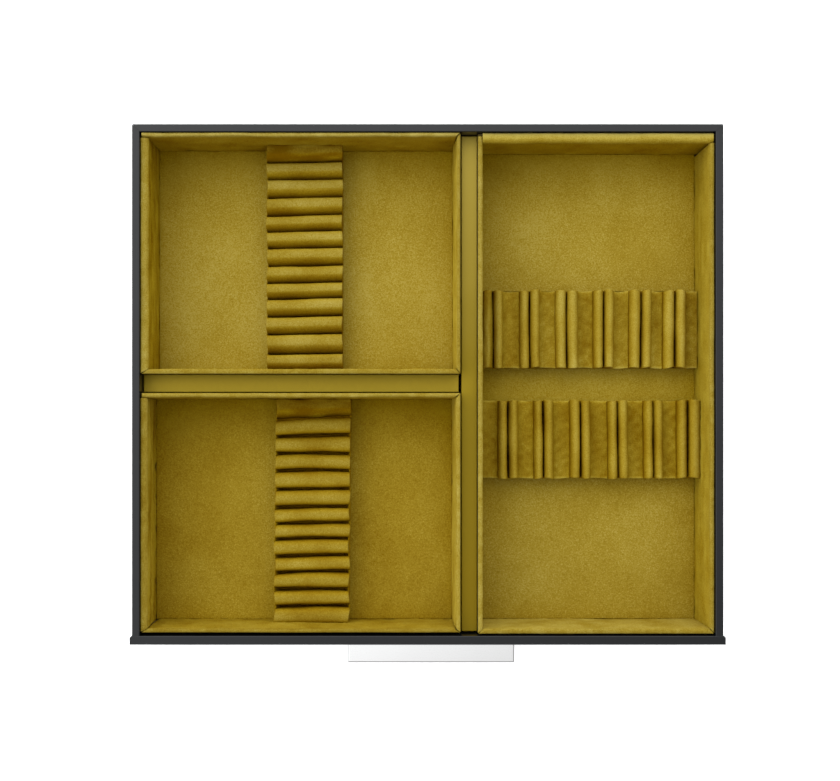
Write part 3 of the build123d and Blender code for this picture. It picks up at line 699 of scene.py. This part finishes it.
def strip(name, nodes_replaced, body, P, K, span, along_x, marks, shift, lift, seed, wrinkle=1.0, r_end=0.7, top=41.5,
          low=24.4, skew=0.0, ragged=0.0, closed=(0.0, 0.0), front_flank_shade=0.34, back_flank_shade=0.16, painted_light_tone=0.0, painted_dulling=None, painted_dim=0.0, extra_painted_shade=0.0):
    """Sweeps a section across the strip. marks are the slits' places; shift(k, u) moves slit k sideways and
    lift(k, u) raises roll k, with u from -1 to 1 across the strip."""
    N = loop_normals(P)
    s, inset = stations(span[1] - span[0], 1.3, r_end)
    S = np.repeat((span[0] + s)[:, None], len(P), 1)
    Y = P[None, :, 0] - N[None, :, 0] * inset[:, None]
    Z = P[None, :, 1] - N[None, :, 1] * inset[:, None]
    u = (S - (span[0] + span[1]) / 2) / ((span[1] - span[0]) / 2)
    # the cloth closes the slits at the ends of the strip
    inside = np.isin(K, (1, 3))
    shut = np.zeros_like(S)
    for end, dist in ((0, S - span[0]), (1, span[1] - S)):
        if closed[end] > 0:
            c = np.exp(-((dist / closed[end]) ** 2)) * inside[None, :]
            Z = Z + np.clip(top - 2.2 - Z, 0, None) * c
            shut = np.maximum(shut, c)
    grid = np.array([shift(k, u[:, 0]) for k in range(len(marks))])   # (marks, stations)
    order = np.argsort(marks)
    mk = np.array(marks)[order]
    for j in range(len(s)):
        Y[j] += np.interp(P[:, 0], mk, grid[order, j])
    mids = (mk[1:] + mk[:-1]) / 2
    hi = np.array([lift(k, u[:, 0]) for k in range(len(mids))])
    hfac = np.clip((Z - low) / (top - low), 0, 1.2)
    for j in range(len(s)):
        Z[j] += np.interp(P[:, 0], mids, hi[:, j]) * hfac[j]
    across = Y - (marks[0] + marks[-1]) / 2
    edge = waves(seed + 7, 15, n=10)(np.stack([0 * Y, Y, 0 * Y], -1)) * ragged * hfac * (0.4 + 0.6 * np.abs(u))
    S = S + skew * across + edge
    Q = np.stack([S, Y, Z], -1) if along_x else np.stack([Y, S, Z], -1)
    soft = (K[None, :] >= 1) * 1.0
    w1, w2, w3 = waves(seed, 19, n=14, stretch=(1.6, 1, 1) if along_x else (1, 1.6, 1)), waves(seed + 1, 7, n=16), waves(seed + 2, 30)
    Nn = N[None, :, :] * np.ones((len(s), 1, 1))
    shaded_wrinkled_part = np.zeros(len(P))
    if painted_dulling is not None:
        # a part of the strip beside the tray wall, painted in shade and more wrinkled: (from, to, nap, shade)
        shaded_wrinkled_part = np.clip((P[:, 0] - painted_dulling[0]) / 1.5, 0, 1) * np.clip((painted_dulling[1] - P[:, 0]) / 1.5, 0, 1)
    long_fold = waves(seed + 9, 4.5, n=14, stretch=(4.5, 1, 1) if along_x else (1, 4.5, 1))
    d = soft * (0.16 * w1(Q) + 0.05 * w2(Q) + 0.22 * shaded_wrinkled_part[None, :] * long_fold(Q)) * wrinkle
    if along_x:
        Q[..., 1] += Nn[..., 0] * d
    else:
        Q[..., 0] += Nn[..., 0] * d
    Q[..., 2] += Nn[..., 1] * d
    steep = (1 - np.clip(N[None, :, 1], 0, 1)) * soft
    if along_x:
        # painted light falling from the back: front faces painted in deep shade, back faces in lighter shade, tops
        # painted lighter
        fronts = np.clip(-N[None, :, 0], 0, 1) * soft
        backs = np.clip(N[None, :, 0], 0, 1) * soft
        nap_and_painted_light = 0.04 * w3(Q) + 0.04 * w1(Q) + 0.10 * (1 - steep) - front_flank_shade * fronts ** 0.9 - back_flank_shade * backs ** 1.5
        painted_shade_amount = np.clip(1.15 * fronts ** 0.8 + min(1.0, back_flank_shade * 4) * backs, 0, 1)
    else:
        # painted highlight on roll tops, painted shade on steep faces and on the flats between roll pairs
        nap_and_painted_light = 0.04 * w3(Q) + 0.04 * w1(Q) + 0.11 * (1 - steep) * (K[None, :] == 2) - 0.23 * steep ** 1.4 - 0.07 * (K[None, :] == 4)
        painted_shade_amount = np.clip(0.8 * steep + 0.35 * (K[None, :] == 4), 0, 1)
    # painted shade fills the slits, lifted where the cloth closes them; the tone setting darkens the lit roll tops and
    # flats as painted shade
    painted_shade_amount = np.where(inside[None, :], 1.0, painted_shade_amount + extra_painted_shade)
    nap_and_painted_light = nap_and_painted_light + painted_light_tone * np.isin(K, (2, 4))[None, :] - 0.6 * inside[None, :] * (1 - 0.75 * shut)
    if painted_dulling is not None:
        nap_and_painted_light = nap_and_painted_light + (painted_dulling[2] + 0.11 * long_fold(Q) + 0.04 * w1(Q)) * shaded_wrinkled_part[None, :]
        painted_shade_amount = np.clip(painted_shade_amount + painted_dulling[3] * shaded_wrinkled_part[None, :], 0, 1)
    if not along_x:
        # painted highlight along the flat parts' cut ends
        cut_end_highlight = np.exp(-(np.minimum(S - span[0], span[1] - S).clip(0, None) / 0.9) ** 2) * (K[None, :] == 4)
        nap_and_painted_light = nap_and_painted_light + 0.45 * cut_end_highlight + 0.06 * (w2(Q) + waves(seed + 10, 4)(Q)) * (K[None, :] == 4)
    o = tube(name, Q, suede_roll, nap_and_painted_light + 0 * Y, np.clip(painted_shade_amount + 0 * Y, 0, 1), painted_dim + 0 * Y)
    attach(o, body)
    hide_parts(*nodes_replaced)
    return o


def roll_items(marks, g, top, sh, slit_z, tops=None, shallow=None, rng_seed=0, shape=None):
    """g: how far each slit reaches in front of its mark and behind it."""
    r = np.random.default_rng(rng_seed)
    items = []
    n = len(marks)
    for i in range(n - 1):
        a = marks[i] + (g[1] * r.uniform(0.85, 1.2) if i else 0)
        b = marks[i + 1] - (g[0] * r.uniform(0.8, 1.2) if i < n - 2 else 0)
        if shallow and i + 1 in shallow:
            b = marks[i + 1] - 0.8
        if shallow and i in shallow:
            a = marks[i] + 0.5
        t = top + (tops or {}).get(i, 0)
        items.append(("roll", a, b, t, sh * r.uniform(0.94, 1.06)) + ((shape[i],) if shape and i in shape else ()))
        if i < n - 2:
            items.append(("slit", (shallow or {}).get(i + 1, slit_z)))
    return items


Z0 = 22.85
slits_a = (171.1, 158.5, 145.5, 132.7, 121.1, 108.8, 96.0, 83.6, 72.1, 59.2, 46.3, 32.0)
slits_b = (-14.45, -26.9, -39.9, -52.7, -65.6, -78.7, -90.4, -102.0, -114.0, -125.9, -138.2, -150.7)
marks = sorted([183.3, 20.3] + list(slits_a))
ra = np.random.default_rng(5)
tilt_a = ra.normal(0.62, 0.18, len(marks))
bow_a = ra.normal(0.05, 0.10, len(marks))
tilt_a[[0, -1]] = 0
bow_a[[0, -1]] = 0
lift_a = ra.normal(0, 0.30, len(marks))
P, K = section(roll_items(marks, (0.38, 0.34), 41.8, 9.5, 26.5, tops={12: 2.2}, rng_seed=3, shape={12: ((2.05, 1.1), (4.5, 0.2))}),
               marks[0], marks[-1], Z0, 19, (1.8, 1.1), (3.2, 0.42))
strip(
    "insert_a_cover", ["insert_a_rolls", "insert_a_board"], "insert_a", P, K, (-115.7, -60.8), True, marks,
    lambda k, u: tilt_a[k] * u + bow_a[k] * (1 - u * u), lambda k, u: lift_a[k] + 0.25 * np.sin(2.1 * u + k), 11,
    wrinkle=0.42, ragged=0.28, closed=(2.3, 0.5), front_flank_shade=0.31, painted_light_tone=-0.03, painted_dim=0.40, painted_dulling=(171.2, 190, -0.24, 0.45),
)

marks_b = sorted([-0.4, -163.4] + list(slits_b))
rb = np.random.default_rng(9)
tilt_b = rb.normal(0.45, 0.30, len(marks_b))
bow_b = rb.normal(0.35, 0.22, len(marks_b))
tilt_b[[0, -1]] = 0
bow_b[[0, -1]] = 0
tilt_b[-2], bow_b[-2] = 1.3, 0.1
lift_b = rb.normal(0, 0.35, len(marks_b))
P, K = section(
    roll_items(marks_b, (1.75, 0.8), 41.8, 7.0, 29.0, tops={12: -2.2}, shallow={12: 33.6}, rng_seed=8,
               shape={12: ((1.6, 0.85), (4.5, 0.3))}),
    marks_b[0], marks_b[-1], Z0, 19, (3.2, 0.75), (2.6, 0.8),
)
strip(
    "insert_b_cover", ["insert_b_rolls", "insert_b_board"], "insert_b", P, K, (-109.6, -55.4), True, marks_b,
    lambda k, u: tilt_b[k] * u + bow_b[k] * (1 - u * u), lambda k, u: lift_b[k] + 0.3 * np.sin(1.7 * u + 2 * k), 23,
    wrinkle=0.75, skew=0.0088, ragged=0.35, closed=(2.3, 1.6), front_flank_shade=0.19, back_flank_shade=0.20, painted_light_tone=-0.11, painted_dim=0.50, extra_painted_shade=0.12,
    painted_dulling=(-15.0, 5, -0.24, 0.50),
)


def bar(name, slits, span_y, seed, x0, x1, first_low, w=6.6):
    r = np.random.default_rng(seed)
    items, mk = [("flat", 32.4)], [x0]
    for i, s in enumerate(slits):
        g = 0.26 if i == 0 and first_low else r.uniform(0.34, 0.60)
        a0, b0 = max(s - g - w * r.uniform(0.93, 1.1), x0 + 0.1), s - g
        a1, b1 = s + g, min(s + g + w * r.uniform(0.93, 1.1), x1 - 0.1)
        if i == len(slits) - 1 and x1 - b1 < 5:
            b1 = x1 - 0.1
        items.append(("roll", a0, b0, (39.0 if i == 0 and first_low else 43.0) + r.normal(0, 0.35), 5.5))
        items.append(("slit", 26.0))
        items.append(("roll", a1, b1, 43.0 + r.normal(0, 0.35), 5.5))
        items.append(("flat", 32.4))
        mk.append(s)
    if items[-2][2] >= x1 - 0.6:
        items.pop()
    if items[1][1] <= x0 + 0.6:
        items.pop(0)
    mk.append(x1)
    P, K = section(items, x0, x1, Z0, 15, (2.0, 1.0), (2.0, 1.0))
    tilt, bow, lift = r.normal(0.0, 0.30, len(mk)), r.normal(0, 0.16, len(mk)), r.normal(0, 0.2, len(mk))
    tilt[[0, -1]] = 0
    bow[[0, -1]] = 0
    strip(
        name + "_bar_cover", [name + "_bar_rolls", name + "_bar_pads", name + "_bar_board"], name + "_bar", P, K, span_y, False, mk,
        lambda k, u: tilt[k] * u + bow[k] * (1 - u * u), lambda k, u: lift[k] + 0.2 * np.sin(1.9 * u + k), seed + 3,
        wrinkle=0.7, top=43.0, ragged=0.45, painted_light_tone=-0.05 if first_low else -0.12, painted_dim=0.22 if first_low else 0.40, extra_painted_shade=0.10 if first_low else 0.24,
        painted_dulling=(x0 - 5, slits[0] + 0.5, -0.10, 0.25) if first_low else None,
    )


bar("rear", (48.7, 75.2, 102.0, 128.7, 155.7, 180.5), (21.9, 78.1), 31, 39.6, 198.2, True, w=7.2)
bar("front", (59.6, 84.8, 111.8, 138.9, 164.6, 189.9), (-58.4, -1.9), 47, 39.6, 199.0, False)

# ------------------------------------------------------------------ floor, light, camera
fm, nt, b = new_material("pale_floor")
b.inputs["Base Color"].default_value = (0.93, 0.93, 0.93, 1)
b.inputs["Roughness"].default_value = 0.9
b.inputs["Emission Color"].default_value = (1, 1, 1, 1)
b.inputs["Emission Strength"].default_value = 0.55
me = bpy.data.meshes.new("floor")
me.from_pydata([(-6, -6, -0.0005), (6, -6, -0.0005), (6, 6, -0.0005), (-6, 6, -0.0005)], [], [(0, 1, 2, 3)])
me.materials.append(fm)
floor = bpy.data.objects.new("floor", me)
bpy.context.scene.collection.objects.link(floor)


def area(name, loc, target, size, power, color=(1, 1, 1), size_y=None):
    l = bpy.data.lights.new(name, "AREA")
    l.energy = power
    l.color = color
    l.size = size
    if size_y:
        l.shape = "RECTANGLE"
        l.size_y = size_y
    o = bpy.data.objects.new(name, l)
    o.location = loc
    o.rotation_euler = (Vector(target) - Vector(loc)).to_track_quat("-Z", "Y").to_euler()
    bpy.context.scene.collection.objects.link(o)
    return o


area("key", (-0.9, 1.4, 1.5), (0, 0, 0.03), 1.4, 4, (1.0, 0.995, 0.98))
fill = area("fill", (0.5, -1.7, 1.1), (0, 0.05, 0.03), 1.2, 7, (1.0, 1.0, 0.99))
fill.visible_glossy = False

# a broad soft ceiling light, strongest toward the back and left
world = bpy.data.worlds.new("studio")
world.use_nodes = True
wt = world.node_tree
bg = wt.nodes["Background"]
way = wt.nodes.new("ShaderNodeSeparateXYZ")
wt.links.new(wt.nodes.new("ShaderNodeTexCoord").outputs["Generated"], way.inputs["Vector"])
glow = math_node(wt, "ADD", math_node(wt, "MULTIPLY", way.outputs["X"], -1.45), math_node(wt, "MULTIPLY", way.outputs["Y"], 2.6))
glow = math_node(wt, "ADD", glow, 1.43)
wt.links.new(ramp(wt, math_node(wt, "MULTIPLY", glow, 0.4), [(0.16, (0.40, 0.40, 0.40)), (1.0, (2.46, 2.50, 2.54))]), bg.inputs["Color"])
bg.inputs["Strength"].default_value = 1.0
bpy.context.scene.world = world

cam = bpy.data.cameras.new("camera")
cam.sensor_width = 36.0
cam.lens = 36.0 * 870.0 / (840 * 0.7009)
cam.shift_x = 30.2 / 840
cam.shift_y = 33.0 / 840
cam.dof.use_dof = False
cam_o = bpy.data.objects.new("camera", cam)
cam_o.location = (-0.02656, -0.0185, 0.070 + 0.870)
cam_o.rotation_euler = (0, 0, 0)
bpy.context.scene.collection.objects.link(cam_o)
bpy.context.scene.camera = cam_o
bpy.context.scene.view_settings.view_transform = "Standard"
